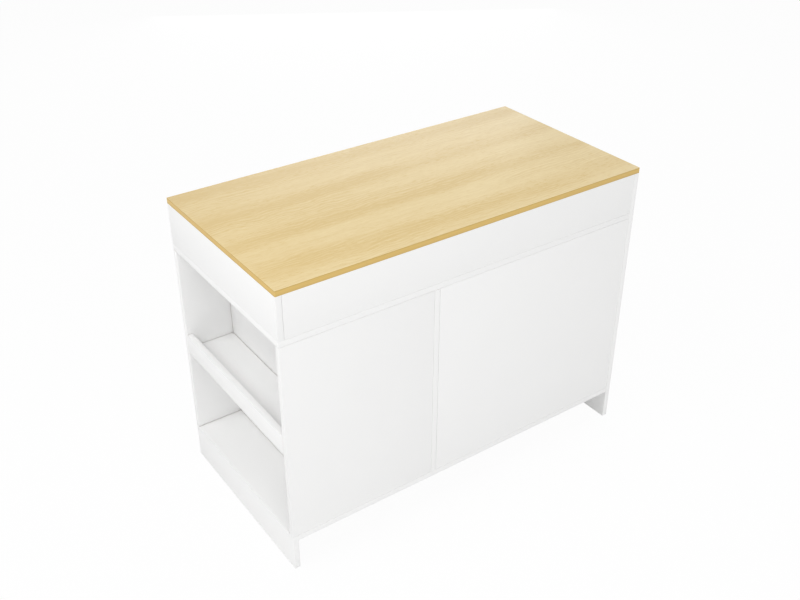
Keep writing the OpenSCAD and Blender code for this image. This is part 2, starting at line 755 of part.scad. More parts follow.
module left_drawer_front() { drawer_front(drawer_x[0]); }
module left_drawer_sides() { drawer_sides(drawer_x[0]); }
module left_drawer_back() { drawer_back(drawer_x[0]); }
module left_drawer_bottom() { drawer_bottom(drawer_x[0]); }
module left_drawer_runners() { drawer_runners(drawer_x[0]); }
module left_middle_runners() { middle_runners(drawer_x[0]); }
module left_drawer_fixings() { drawer_fixings(drawer_x[0]); }
module centre_drawer_front() { drawer_front(drawer_x[1]); }
module centre_drawer_sides() { drawer_sides(drawer_x[1]); }
module centre_drawer_back() { drawer_back(drawer_x[1]); }
module centre_drawer_bottom() { drawer_bottom(drawer_x[1]); }
module centre_drawer_runners() { drawer_runners(drawer_x[1]); }
module centre_middle_runners() { middle_runners(drawer_x[1]); }
module centre_drawer_fixings() { drawer_fixings(drawer_x[1]); }
module right_drawer_front() { drawer_front(drawer_x[2]); }
module right_drawer_sides() { drawer_sides(drawer_x[2]); }
module right_drawer_back() { drawer_back(drawer_x[2]); }
module right_drawer_bottom() { drawer_bottom(drawer_x[2]); }
module right_drawer_runners() { drawer_runners(drawer_x[2]); }
module right_middle_runners() { middle_runners(drawer_x[2]); }
module right_drawer_fixings() { drawer_fixings(drawer_x[2]); }

// ---- Doors ----

// Moves a left-hand hinge from the wall X = 0, facing +X, to each hinge of door i
module at_hinges(i) {
    x_wall = door_side[i] < 0 ? door_x[i][0] - front_gap : door_x[i][1] + front_gap;
    for (z = hinge_z) translate([x_wall, 0, z]) mirror([door_side[i] < 0 ? 0 : 1, 0, 0]) children();
}

// Every second knuckle with the neck that joins it to its leaf, from knuckle first on
module leaf_knuckles(first, x) {
    pitch = hinge_h / knuckles;
    for (k = [first:2:knuckles - 1]) {
        z = [k * pitch + hinge_gap / 2, (k + 1) * pitch - hinge_gap / 2];
        difference() {
            union() {
                translate([leaf_t, knuckle_y, z[0]]) cylinder(d = knuckle_d, h = z[1] - z[0]);
                slab(x, [knuckle_y, -y_face + 1], z);
            }
            translate([leaf_t, knuckle_y, z[0] - 1])
                cylinder(d = hinge_pin_d + 2 * fit, h = z[1] - z[0] + 2);
        }
    }
}

module hinge_leaf(first, x) {
    union() {
        slab(x, [-y_face, -y_face + leaf_w], [0, hinge_h]);
        leaf_knuckles(first, x);
    }
}

// Three countersunk screws a leaf, on a line behind the knuckles
leaf_screw_y = -y_face + leaf_w * 0.55;
leaf_screw_z = [for (part = [0.25, 0.5, 0.75]) part * hinge_h];
module frame_leaf_screws(spare) {
    for (z = leaf_screw_z) turned([leaf_t, leaf_screw_y, z], 180) screw(small_screw_d, leaf_t, hinge_screw_length, spare);
}

module door_leaf_screws(spare) {
    for (z = leaf_screw_z) turned([leaf_t, leaf_screw_y, z], 0) screw(small_screw_d, leaf_t, hinge_screw_length, spare);
}

module frame_leaf() {
    difference() {
        hinge_leaf(0, [0, leaf_t]);
        frame_leaf_screws(fit);
    }
}

module door_leaf() {
    difference() {
        hinge_leaf(1, [leaf_t, 2 * leaf_t]);
        door_leaf_screws(fit);
    }
}

module hinge_frame_leaves() {
    color(steel) for (i = [0, 1, 2]) at_hinges(i) frame_leaf();
}

// A pin with a button on each end
module hinge_pin() {
    button_t = 1;
    translate([leaf_t, knuckle_y, 0]) {
        cylinder(d = hinge_pin_d, h = hinge_h);
        for (z = [-button_t, hinge_h]) translate([0, 0, z]) cylinder(d = knuckle_d - 1, h = button_t);
    }
}

module hinge_pins() {
    color(steel) for (i = [0, 1, 2]) at_hinges(i) hinge_pin();
}

// The X of door i's free edge, and the way from it into the door
function free_x(i) = door_side[i] < 0 ? door_x[i][1] : door_x[i][0];
function inward(i) = door_side[i];

module door_panel(i) {
    color(white) difference() {
        slab(door_x[i], [-y_face, -y_in], door_z);
        translate([free_x(i) + inward(i) * (grip_inset + grip_w / 2), -y_in, door_z[1]]) grip_cut();
        at_hinges(i) door_leaf_screws(fit);
        strike_screw(i, fit);
    }
}

module door_hinge_leaves(i) { color(steel) at_hinges(i) door_leaf(); }

catch_inset = 8;
function catch_x(i) = [
    min(free_x(i) + inward(i) * catch_inset, free_x(i) + inward(i) * (catch_inset + catch_w)),
    max(free_x(i) + inward(i) * catch_inset, free_x(i) + inward(i) * (catch_inset + catch_w))
];

function catch_mid(i) = (catch_x(i)[0] + catch_x(i)[1]) / 2;
strike_z = [z_doors_top - front_gap - catch_h, z_doors_top - front_gap - 1];

module strike_screw(i, spare) {
    turned([catch_mid(i), -y_in + strike_t, (strike_z[0] + strike_z[1]) / 2], -90)
        screw(small_screw_d, strike_t, strike_screw_length, spare);
}

module door_strike(i) {
    color(steel) difference() {
        slab(catch_x(i), [-y_in, -y_in + strike_t], strike_z);
        strike_screw(i, fit);
    }
}

// The hinge and strike screws that ride with a door
module door_screws(i) {
    color(steel) {
        at_hinges(i) door_leaf_screws(0);
        strike_screw(i, 0);
    }
}

catch_y = -y_in + strike_t + hinge_gap;

// Two screws up through each catch into the divider
module catch_screws(spare) {
    for (i = [0, 1, 2], x = [-catch_w / 4, catch_w / 4])
        translate([catch_mid(i) + x, catch_y + catch_depth / 2, z_doors_top - catch_h]) rotate([0, -90, 0])
            screw(small_screw_d, catch_countersink, catch_h + catch_screw_grip, spare);
}

module magnetic_catches() {
    color(white) difference() {
        for (i = [0, 1, 2]) slab(catch_x(i), [catch_y, catch_y + catch_depth], [z_doors_top - catch_h, z_doors_top]);
        catch_screws(fit);
    }
}

// Every screw that stays with the carcass
module carcass_screws() {
    color(steel) {
        for (x = drawer_x) runner_screws(x, 0);
        for (i = [0, 1, 2]) at_hinges(i) frame_leaf_screws(0);
        catch_screws(0);
    }
}

module left_door() { door_panel(0); }
module left_door_hinge_leaves() { door_hinge_leaves(0); }
module left_door_strike() { door_strike(0); }
module left_door_screws() { door_screws(0); }
module centre_door() { door_panel(1); }
module centre_door_hinge_leaves() { door_hinge_leaves(1); }
module centre_door_strike() { door_strike(1); }
module centre_door_screws() { door_screws(1); }
module right_door() { door_panel(2); }
module right_door_hinge_leaves() { door_hinge_leaves(2); }
module right_door_strike() { door_strike(2); }
module right_door_screws() { door_screws(2); }

worktop();
left_side_board();
end_apron();
divider_board();
bottom_board();
end_plinth();
partition_board();
bay_back_board();
bay_front_board();
back_panel_narrow();
back_panel_wide();
back_panel_top();
bay_shelf();
bay_rail();
drawer_partition_left();
drawer_partition_right();
wide_shelf();
narrow_shelf();
shelf_pins();
dowels();
cam_locks();
cam_bolts();
cabinet_runners();
hinge_frame_leaves();
hinge_pins();
magnetic_catches();
carcass_screws();
left_drawer_front();
left_drawer_sides();
left_drawer_back();
left_drawer_bottom();
left_drawer_runners();
left_middle_runners();
left_drawer_fixings();
centre_drawer_front();
centre_drawer_sides();
centre_drawer_back();
centre_drawer_bottom();
centre_drawer_runners();
centre_middle_runners();
centre_drawer_fixings();
right_drawer_front();
right_drawer_sides();
right_drawer_back();
right_drawer_bottom();
right_drawer_runners();
right_middle_runners();
right_drawer_fixings();
left_door();
left_door_hinge_leaves();
left_door_strike();
left_door_screws();
centre_door();
centre_door_hinge_leaves();
centre_door_strike();
centre_door_screws();
right_door();
right_door_hinge_leaves();
right_door_strike();
right_door_screws();
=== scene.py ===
"""The looks of a kitchen island unit: white melamine boards, a light oak laminate worktop and bright metal
fittings, dressed round the unit's solids. Lengths are metres in the unit's own frame: X along the worktop,
Y from the door side to the plain side, Z up from the floor."""

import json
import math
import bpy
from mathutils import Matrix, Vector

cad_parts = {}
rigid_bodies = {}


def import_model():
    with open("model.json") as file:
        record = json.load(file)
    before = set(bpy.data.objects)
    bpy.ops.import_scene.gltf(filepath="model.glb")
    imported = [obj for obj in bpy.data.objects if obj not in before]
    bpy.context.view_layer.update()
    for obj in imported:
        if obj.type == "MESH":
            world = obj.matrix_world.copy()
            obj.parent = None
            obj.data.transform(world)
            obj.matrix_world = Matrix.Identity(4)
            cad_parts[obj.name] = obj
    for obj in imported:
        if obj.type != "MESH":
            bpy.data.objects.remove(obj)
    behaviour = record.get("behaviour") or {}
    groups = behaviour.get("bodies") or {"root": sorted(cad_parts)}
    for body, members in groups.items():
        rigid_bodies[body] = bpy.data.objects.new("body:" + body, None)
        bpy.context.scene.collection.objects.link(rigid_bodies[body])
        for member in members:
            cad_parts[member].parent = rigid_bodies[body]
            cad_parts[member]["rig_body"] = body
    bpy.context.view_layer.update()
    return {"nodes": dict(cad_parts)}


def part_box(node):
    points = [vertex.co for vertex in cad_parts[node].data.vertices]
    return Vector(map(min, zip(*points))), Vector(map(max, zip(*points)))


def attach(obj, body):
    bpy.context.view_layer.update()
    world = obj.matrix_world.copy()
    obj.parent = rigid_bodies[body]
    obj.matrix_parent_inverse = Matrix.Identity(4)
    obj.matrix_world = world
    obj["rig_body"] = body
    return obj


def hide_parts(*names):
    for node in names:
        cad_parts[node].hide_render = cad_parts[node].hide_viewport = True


bl_info = {
    "name": "Kitchen Island Unit",
    "version": (1, 0, 0),
    "blender": (4, 5, 0),
    "location": "3D View > Sidebar > Island",
    "description": "Dresses a kitchen island unit: boards, worktop, doors, drawers, fittings and stage",
    "category": "Object",
}

import bmesh
import bpy
import numpy as np
from bpy.props import FloatProperty, FloatVectorProperty, IntProperty, PointerProperty

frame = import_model()

MM = 0.001
# A quarter turn for rows of flat points
QUARTER_TURN = np.array([[0, 1], [-1, 0]])
# The drawers, and the doors under them, from the side board to the bay
SIDES = ("left", "centre", "right")
# Each carcass board with the sides of its box that have no edge band, because another board covers them
CARCASS = {
    "left_side_board": "", "end_apron": "", "end_plinth": "", "divider_board": "-X", "bottom_board": "-X",
    "partition_board": "-Z +Z", "back_panel_narrow": "", "back_panel_wide": "", "back_panel_top": "",
    "bay_back_board": "-Y +Y -Z +Z", "bay_front_board": "-Z +Z", "bay_shelf": "-X +X -Y +Y",
    "bay_rail": "-Y +Y", "drawer_partition_left": "+Y -Z +Z", "drawer_partition_right": "+Y -Z +Z",
    "wide_shelf": "", "narrow_shelf": "",
}
# The boards whose arris isn't the usual one, with the setting that gives it
ARRISES = {
    "back_panel_narrow": "panel_arris", "back_panel_wide": "panel_arris", "back_panel_top": "panel_arris",
    "bay_back_board": "joint_arris", "bay_front_board": "joint_arris", "bay_shelf": "joint_arris",
}


# ---- Settings ----

class IslandBoardSettings(bpy.types.PropertyGroup):
    """Arrises and colours of the melamine boards"""
    arris: FloatProperty(
        name="Board arris", description="Rounding of the melamine boards' edges", default=0.45 * MM,
        min=0.1 * MM, max=2 * MM, subtype="DISTANCE")
    panel_arris: FloatProperty(
        name="Panel arris", description="Rounding of the plain side's panels", default=0.25 * MM,
        min=0.1 * MM, max=2 * MM, subtype="DISTANCE")
    joint_arris: FloatProperty(
        name="Joint arris", description="Rounding of the bay boards' edges, which all lie in joints",
        default=0.9 * MM, min=0.1 * MM, max=2 * MM, subtype="DISTANCE")
    front_arris: FloatProperty(
        name="Front arris", description="Rounding of the doors' and drawer fronts' edges",
        default=0.9 * MM, min=0.1 * MM, max=2 * MM, subtype="DISTANCE")
    arris_steps: IntProperty(
        name="Arris steps", description="Facets across one arris", default=3, min=1, max=6)
    white: FloatVectorProperty(
        name="White", description="Colour of the white melamine",
        default=(0.915, 0.914, 0.909), min=0, max=1, subtype="COLOR")
    core: FloatVectorProperty(
        name="Core", description="Colour of the chipboard core where no edge band covers it",
        default=(0.30, 0.20, 0.11), min=0, max=1, subtype="COLOR")
    inner_white: FloatVectorProperty(
        name="Drawer white", description="Colour of the foil on the drawer boxes",
        default=(0.84, 0.84, 0.83), min=0, max=1, subtype="COLOR")


class IslandOakSettings(bpy.types.PropertyGroup):
    """Colours, bands and arris of the oak worktop"""
    light: FloatVectorProperty(
        name="Light oak", description="Early wood in the laminate",
        default=(0.832, 0.688, 0.403), min=0, max=1, subtype="COLOR")
    dark: FloatVectorProperty(
        name="Dark oak", description="Late wood in the laminate",
        default=(0.690, 0.514, 0.230), min=0, max=1, subtype="COLOR")
    edging: FloatVectorProperty(
        name="Edging", description="Edge band of the worktop",
        default=(0.70, 0.48, 0.155), min=0, max=1, subtype="COLOR")
    band_pitch: FloatProperty(
        name="Band pitch", description="Distance between the darker bands of the laminate",
        default=162 * MM, min=40 * MM, max=600 * MM, subtype="DISTANCE")
    arris: FloatProperty(
        name="Worktop arris", description="Rounding of the worktop's edges", default=0.8 * MM,
        min=0.1 * MM, max=3 * MM, subtype="DISTANCE")


class IslandViewSettings(bpy.types.PropertyGroup):
    """Camera and surroundings"""
    place: FloatVectorProperty(
        name="Camera place", description="Where the camera stands",
        default=(1.4948, 2.0740, 2.0922), subtype="TRANSLATION")
    turn: FloatVectorProperty(
        name="Camera turn", description="The camera's rotation",
        default=tuple(math.radians(a) for a in (58.27, -0.036, 144.884)), subtype="EULER")
    lens: FloatProperty(
        name="Lens", description="Focal length in millimetres", default=45.0, min=10, max=200)
    ambient: FloatProperty(
        name="Ambient", description="Strength of the white surroundings", default=0.57, min=0, max=4)
    backdrop: FloatProperty(
        name="Backdrop", description="Brightness of the surroundings in view, level with the far floor's",
        default=0.978, min=0, max=1)


# ---- Shader expressions ----

class Signal:
    """A shader socket whose arithmetic adds Math nodes to its finish."""

    def __init__(self, finish, socket):
        self.finish = finish
        self.socket = socket

    def __add__(self, other):
        return self.finish.maths("ADD", self, other)

    def __sub__(self, other):
        return self.finish.maths("SUBTRACT", self, other)

    def __rsub__(self, other):
        return self.finish.maths("SUBTRACT", other, self)

    def __mul__(self, other):
        return self.finish.maths("MULTIPLY", self, other)

    def __truediv__(self, other):
        return self.finish.maths("DIVIDE", self, other)

    def __rtruediv__(self, other):
        return self.finish.maths("DIVIDE", other, self)

    __radd__ = __add__
    __rmul__ = __mul__


class Finish:
    """The node tree of a material or of the world, with methods that add nodes to it."""

    def __init__(self, tree):
        self.tree = tree
        tree.nodes.clear()

    def node(self, kind, settings=None, sockets=None, output=0):
        """Adds a node, sets its settings first and its sockets next, and returns one output as a Signal. A
        node without outputs returns nothing."""
        made = self.tree.nodes.new(kind)
        for key, value in (settings or {}).items():
            if key == "stops":
                self.set_stops(made.color_ramp, value)
            else:
                setattr(made, key, value)
        for key, value in (sockets or {}).items():
            if isinstance(value, Signal):
                self.tree.links.new(value.socket, made.inputs[key])
            else:
                made.inputs[key].default_value = value
        return Signal(self, made.outputs[output]) if len(made.outputs) else None

    @staticmethod
    def set_stops(ramp, stops):
        """Gives a ramp its grey stops, each a place and a level."""
        while len(ramp.elements) < len(stops):
            ramp.elements.new(0.5)
        for element, (place, level) in zip(ramp.elements, stops):
            element.position = place
            element.color = (level, level, level, 1)

    def maths(self, operation, first, second=0.0, clamp=False):
        settings = {"operation": operation, "use_clamp": clamp}
        return self.node("ShaderNodeMath", settings, {0: first, 1: second})

    def clamp(self, signal):
        """The signal held between 0 and 1."""
        return self.maths("ADD", signal, 0.0, clamp=True)

    def sine(self, signal):
        return self.maths("SINE", signal)

    def ramp(self, signal, stops):
        """The signal carried over straight lines between stops, each a place and a level."""
        return self.node("ShaderNodeValToRGB", {"stops": stops}, {"Fac": signal})

    def axes(self):
        """The Object coordinates as three Signals."""
        place = self.node("ShaderNodeTexCoord", output="Object")
        return [self.node("ShaderNodeSeparateXYZ", None, {0: place}, output=axis) for axis in range(3)]

    def point(self, x, y, z):
        return self.node("ShaderNodeCombineXYZ", None, {0: x, 1: y, 2: z})

    def noise(self, point, scale=1.0, detail=2.0, roughness=0.5):
        return self.node("ShaderNodeTexNoise", None,
                         {"Vector": point, "Scale": scale, "Detail": detail, "Roughness": roughness})

    def blend(self, factor, first, second):
        """A colour between two colours."""
        sockets = {0: factor, 6: colour(first), 7: colour(second)}
        return self.node("ShaderNodeMix", {"data_type": "RGBA"}, sockets, output=2)

    def bump(self, height, strength, distance):
        sockets = {"Height": height, "Strength": strength, "Distance": distance}
        return self.node("ShaderNodeBump", None, sockets)

    def looked_at(self):
        """1 where the camera sees the surface itself, in a mirror or through glass; 0 for the lighting."""
        camera, mirror, glass = (self.node("ShaderNodeLightPath", output=f"Is {kind} Ray")
                                 for kind in ("Camera", "Glossy", "Transmission"))
        return self.clamp(camera + mirror + glass)

    def surface(self, **sockets):
        """The Principled shader on the material's output; a key's underscores stand for spaces."""
        shader = self.node("ShaderNodeBsdfPrincipled", None,
                           {key.replace("_", " "): value for key, value in sockets.items()})
        self.node("ShaderNodeOutputMaterial", None, {"Surface": shader})


def colour(value):
    """Three numbers as a colour with full alpha."""
    return (*value, 1.0)


def new_material(name):
    """A material and the Finish that fills its node tree."""
    material = bpy.data.materials.new(name)
    material.use_nodes = True
    return material, Finish(material.node_tree)


# ---- Finishes ----
# A coordinate's factor times its noise's scale is the number of cells of that noise in a metre. A sine's
# factor is in radians per metre.

def melamine(name, white, grain=1.0):
    """White melamine: a faint mottle in tone and gloss, and the fine orange peel of its press plate. A
    larger grain deepens the mottle's tone and the peel."""
    material, finish = new_material(name)
    x, y, z = finish.axes()
    place = finish.point(x, y, z)
    mottle = finish.noise(place, 9.0, 3.0)
    peel = finish.noise(place, 900.0, 2.0, 0.6)
    finish.surface(
        Base_Color=finish.blend(mottle, [c * (1 - 0.012 * grain) for c in white], white),
        Roughness=0.38 + mottle * 0.08 + peel * 0.05,
        Specular_IOR_Level=0.35,
        Normal=finish.bump(peel, 0.12 * grain, 0.05 * MM))
    return material


def chipboard(name, tint):
    """The raw core of a board: pressed chips of many tones, with a coarse open surface."""
    material, finish = new_material(name)
    x, y, z = finish.axes()
    place = finish.point(x, y, z)
    chips = finish.noise(place, 420.0, 4.0, 0.7)
    pits = finish.noise(place, 1500.0, 2.0)
    finish.surface(
        Base_Color=finish.blend(finish.ramp(chips, [(0.35, 0.0), (0.65, 1.0)]), [c * 0.6 for c in tint],
                                [min(1.0, c * 1.25) for c in tint]),
        Roughness=0.85 + pits * 0.1,
        Normal=finish.bump(chips + pits * 0.5, 0.5, 0.3 * MM))
    return material


def oak_laminate(name, oak):
    """Light oak laminate: soft bands across the depth with wavy edges, made of a slow shade and two sines,
    one at the band pitch and a weaker one at half of it. On them lie long streaks, cloudy figure, rippled
    growth lines in some zones, and rows of short dark pores that gather in the darker bands."""
    wander = 34 * MM
    band_start = 2.2
    line_rate = 560.0
    line_curl = 30.0
    material, finish = new_material(name)
    x, y = finish.axes()[:2]
    drift = finish.noise(finish.point(x * 2.6, y * 5.0, 0.0), 1.0, 3.0, 0.45) - 0.5
    across = y + drift * wander
    swell = across * (math.tau / oak.band_pitch) + band_start
    shade = finish.noise(finish.point(0.0, across * 16.0, 41.0), 1.0, 2.0) - 0.5
    bands = finish.sine(swell) * 0.19 + finish.sine(swell * 2.0 + 0.9) * 0.06 + shade * 0.5 + 0.5
    sweep = finish.noise(finish.point(x * 2.2, across * 9.0, 3.0), 1.0, 3.0, 0.55) - 0.5
    streaks = finish.noise(finish.point(x * 5.0, across * 130.0, 7.0), 1.0, 4.0, 0.65) - 0.5
    figure = finish.noise(finish.point(x * 24.0, across * 75.0, 29.0), 1.0, 3.0, 0.6) - 0.5
    curl = finish.noise(finish.point(x * 7.0, across * 14.0, 11.0), 1.0, 2.0) - 0.5
    lines = finish.sine(across * line_rate + curl * line_curl) * 0.5 + 0.5
    line_zone = finish.ramp(finish.noise(finish.point(x * 2.4, across * 11.0, 17.0), 1.0, 1.0),
                            [(0.42, 0.0), (0.58, 1.0)])
    pore_rows = finish.noise(finish.point(x * 9.0, across * 60.0, 31.0), 1.0, 2.0)
    pores = finish.ramp(finish.noise(finish.point(x * 48.0, across * 300.0, 23.0), 1.0, 2.0, 0.6),
                        [(0.50, 0.0), (0.66, 1.0)])
    pore_zone = finish.clamp((1.0 - bands) * 1.3 - 0.2) * finish.ramp(pore_rows, [(0.38, 0.0), (0.60, 1.0)])
    # The term in x is painted shade: it darkens the laminate steadily towards +X
    tone = (bands - x * 0.16 + y * 0.3 + sweep * 0.65 + streaks * 0.75 + figure * 0.55
            - lines * line_zone * 0.30 - pores * pore_zone * 0.75 - pores * 0.08 - 0.02)
    finish.surface(
        Base_Color=finish.blend(finish.clamp(tone), oak.dark, oak.light),
        Roughness=0.40 + pores * 0.12 + streaks * 0.10,
        Specular_IOR_Level=0.35,
        Normal=finish.bump(1.0 - pores * 0.6 + streaks * 0.4, 0.15, 0.06 * MM))
    return material


def oak_edging(name, tint, low, high):
    """The worktop's edge band, from height low to height high: a plainer print of the same oak with fine
    lines along it, a brown glue line just under the laminate, and painted shade that darkens the lower
    third."""
    material, finish = new_material(name)
    x, y, z = finish.axes()
    lines = finish.noise(finish.point(x * 6.0, y * 6.0, z * 500.0), 1.0, 3.0, 0.6)
    flecks = finish.noise(finish.point(x * 60.0, y * 60.0, z * 900.0), 1.0, 2.0)
    depth = (high - z) / (high - low)
    # A brown glue line just under the laminate, and painted shade that darkens the band's lower third
    glue_line_and_lower_shade = finish.ramp(
        depth, [(0.0, 0.0), (0.05, 0.75), (0.14, 0.75), (0.22, 0.0), (0.62, 0.0), (1.0, 0.55)])
    tone = finish.clamp(lines * 0.7 + flecks * 0.3 + 0.15 - glue_line_and_lower_shade * 0.6)
    finish.surface(
        Base_Color=finish.blend(tone, [c * 0.74 for c in tint], [min(1.0, c * 1.12) for c in tint]),
        Roughness=0.42 + flecks * 0.12,
        Specular_IOR_Level=0.3,
        Normal=finish.bump(lines, 0.1, 0.05 * MM))
    return material


def sheet_steel(name, tint, roughness, run):
    """Zinc-plated sheet: rolling lines along the axis called run, and a cloudy bloom in its gloss."""
    material, finish = new_material(name)
    stretch = {axis: 3.0 if axis == run else 90.0 for axis in "XYZ"}
    x, y, z = (axis * factor for axis, factor in zip(finish.axes(), stretch.values()))
    lines = finish.noise(finish.point(x, y, z), 12.0, 3.0, 0.6)
    cloud = finish.noise(finish.point(x, y, z), 0.6, 3.0)
    finish.surface(
        Base_Color=finish.blend(cloud, [c * 0.88 for c in tint], [min(1.0, c * 1.06) for c in tint]),
        Metallic=1.0,
        Roughness=roughness + lines * 0.10 + cloud * 0.08,
        Normal=finish.bump(lines, 0.1, 0.04 * MM))
    return material


def cast_zinc(name, tint):
    """Die-cast zinc: a dull skin with a fine sandy grain."""
    material, finish = new_material(name)
    x, y, z = finish.axes()
    grain = finish.noise(finish.point(x, y, z), 1400.0, 3.0, 0.6)
    cloud = finish.noise(finish.point(x, y, z), 160.0, 2.0)
    finish.surface(
        Base_Color=finish.blend(cloud, [c * 0.8 for c in tint], tint),
        Metallic=0.9,
        Roughness=0.45 + grain * 0.2,
        Normal=finish.bump(grain, 0.25, 0.08 * MM))
    return material


def turned_beech(name, tint):
    """Beech: short dark rays on a warm ground."""
    material, finish = new_material(name)
    x, y, z = finish.axes()
    rays = finish.noise(finish.point(x * 900.0, y * 900.0, z * 900.0), 1.0, 2.0)
    ground = finish.noise(finish.point(x, y, z), 60.0, 3.0)
    finish.surface(
        Base_Color=finish.blend(finish.clamp(ground - finish.ramp(rays, [(0.55, 0.0), (0.65, 0.4)])),
                                [c * 0.75 for c in tint], tint),
        Roughness=0.6 + rays * 0.15)
    return material


def moulded_plastic(name, tint):
    """White moulded plastic with a fine eroded texture."""
    material, finish = new_material(name)
    x, y, z = finish.axes()
    grain = finish.noise(finish.point(x, y, z), 1800.0, 2.0)
    finish.surface(
        Base_Color=finish.blend(grain, [c * 0.97 for c in tint], tint),
        Roughness=0.5 + grain * 0.15,
        Normal=finish.bump(grain, 0.2, 0.05 * MM))
    return material


# ---- Meshes ----

def joined_copy(node, arris, steps):
    """A copy of a solid's mesh with its loose triangles joined, its flat faces made whole and its long
    outer edges rounded: where two faces turn by more than 60 degrees, each is cut back by the arris."""
    same_point = 0.001 * MM
    same_plane = math.radians(0.5)
    long_edge = 12 * MM
    sharp_turn = math.radians(60)
    mesh = frame["nodes"][node].data.copy()
    mesh.name = node + "_dressed"
    work = bmesh.new()
    work.from_mesh(mesh)
    bmesh.ops.remove_doubles(work, verts=work.verts, dist=same_point)
    bmesh.ops.dissolve_limit(work, angle_limit=same_plane, verts=work.verts, edges=work.edges)
    edges = [edge for edge in work.edges
             if len(edge.link_faces) == 2 and edge.calc_length() > long_edge
             and edge.calc_face_angle_signed() > sharp_turn]
    bmesh.ops.bevel(work, geom=edges, offset=arris, offset_type="OFFSET", segments=steps, profile=0.5,
                    affect="EDGES", clamp_overlap=True)
    work.to_mesh(mesh)
    work.free()
    mesh.materials.clear()
    shade_by_size(mesh)
    return mesh


def shade_by_size(mesh):
    """Shades large faces flat, and small ones, on arrises and round walls, smooth where they turn by less
    than 40 degrees, so that no arris bends the light over a whole board."""
    large = 100 * MM * MM
    smooth_turn = math.radians(40)
    if "custom_normal" in mesh.attributes:
        mesh.attributes.remove(mesh.attributes["custom_normal"])
    areas = np.empty(len(mesh.polygons))
    mesh.polygons.foreach_get("area", areas)
    mesh.polygons.foreach_set("use_smooth", areas < large)
    mesh.set_sharp_from_angle(angle=smooth_turn)


def cut_cross(work, face):
    """Sinks a cross recess in a screw's round head face. Its measures are shares of the head's radius. Its
    outline has twelve corners: each arm runs from the middle out to its reach, with half its width to
    either side of its own line. The floor is that outline times the taper, and lies deeper by the depth."""
    reach = 0.58
    half_width = 0.13
    depth = 0.55
    taper = 0.55
    middle = np.array(face.calc_center_median())
    inward = -np.array(face.normal)
    along = np.array(face.verts[0].co) - middle
    radius = np.linalg.norm(along)
    along = along / radius
    across = np.cross(inward, along)
    quarter = np.array([(reach, half_width), (half_width, half_width), (half_width, reach)])
    turns = [np.linalg.matrix_power(QUARTER_TURN, count) for count in range(4)]
    cross = np.concatenate([quarter @ turn for turn in turns]) @ np.array([along, across])
    outline = middle + radius * cross
    floor = middle + radius * (taper * cross + depth * inward)
    rim = list(face.edges)
    bmesh.ops.delete(work, geom=[face], context="FACES_ONLY")
    top = [work.verts.new(point) for point in outline]
    low = [work.verts.new(point) for point in floor]
    work.faces.new(low)
    for near in range(len(top)):
        far = (near + 1) % len(top)
        rim.append(work.edges.new((top[near], top[far])))
        work.faces.new((top[near], top[far], low[far], low[near]))
    bmesh.ops.triangle_fill(work, use_beauty=True, edges=rim, normal=[-part for part in inward])


def shells(work):
    """The separate shells of a mesh, each a set of its faces, found by spreading from face to face over
    their shared edges."""
    unseen = set(work.faces)
    while unseen:
        shell = set()
        rim = {unseen.pop()}
        while rim:
            shell |= rim
            rim = {near for face in rim for edge in face.edges for near in edge.link_faces} - shell
        unseen -= shell
        yield shell


def screws_copy(node):
    """A copy of a node's screws with a cross recess in each countersunk head. A head is a round face that
    meets its wall at a turn of more than 100 degrees, so bolts and pins without a head stay as they are.
    Cams, which are broader than a screw's head in every direction, take the second finish."""
    broad = 8 * MM
    arris = 0.1 * MM
    round_corners = 12
    head_turn = math.radians(100)
    mesh = joined_copy(node, arris, 1)
    work = bmesh.new()
    work.from_mesh(mesh)
    for shell in shells(work):
        corners = np.array([vert.co for face in shell for vert in face.verts])
        for face in shell:
            face.material_index = int(np.ptp(corners, axis=0).min() > broad)
    heads = [face for face in work.faces
             if len(face.verts) > round_corners and face.edges[0].calc_face_angle() > head_turn]
    for face in heads:
        cut_cross(work, face)
    bmesh.ops.recalc_face_normals(work, faces=work.faces)
    work.to_mesh(mesh)
    work.free()
    return mesh


def add_piece(mesh, node, slot, *materials):
    """Shows a mesh in place of a node, on the node's body, with its finishes."""
    piece = bpy.data.objects.new(mesh.name, mesh)
    bpy.context.scene.collection.objects.link(piece)
    for material in materials:
        mesh.materials.append(material)
    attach(piece, frame["nodes"][node]["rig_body"])
    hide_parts(node)


def dress_node(node, material):
    """Gives a solid that stays as it is its finish."""
    mesh = frame["nodes"][node].data
    mesh.materials.clear()
    mesh.materials.append(material)


def grid_mesh(name, points):
    """A mesh from an array of points (rows, columns, 3), with quads between neighbouring points."""
    rows, columns = points.shape[:2]
    index = np.arange(rows * columns).reshape(rows, columns)
    quads = np.stack([index[:-1, :-1], index[1:, :-1], index[1:, 1:], index[:-1, 1:]], axis=-1)
    mesh = bpy.data.meshes.new(name)
    mesh.from_pydata(points.reshape(-1, 3), [], quads.reshape(-1, 4))
    return mesh


def directions(mesh):
    """The polygons' normals as an array (polygons, 3)."""
    normals = np.empty(len(mesh.polygons) * 3)
    mesh.polygons.foreach_get("normal", normals)
    return normals.reshape(-1, 3)


def pick_finish(mesh, second):
    """Gives the polygons that are marked in second the mesh's second finish, and the others the first."""
    mesh.polygons.foreach_set("material_index", second.astype(np.int32))


# ---- Operators ----

class ISLAND_OT_camera(bpy.types.Operator):
    """Place the camera at the photograph's viewing angle"""
    bl_idname = "island.camera"
    bl_label = "Camera"

    def execute(self, context):
        view = context.scene.island_view
        camera = bpy.data.objects.new("Camera", bpy.data.cameras.new("Camera"))
        context.scene.collection.objects.link(camera)
        camera.data.lens = view.lens
        camera.data.sensor_width = 36.0
        camera.data.clip_end = 100.0
        camera.location = view.place
        camera.rotation_euler = view.turn
        context.scene.camera = camera
        return {"FINISHED"}


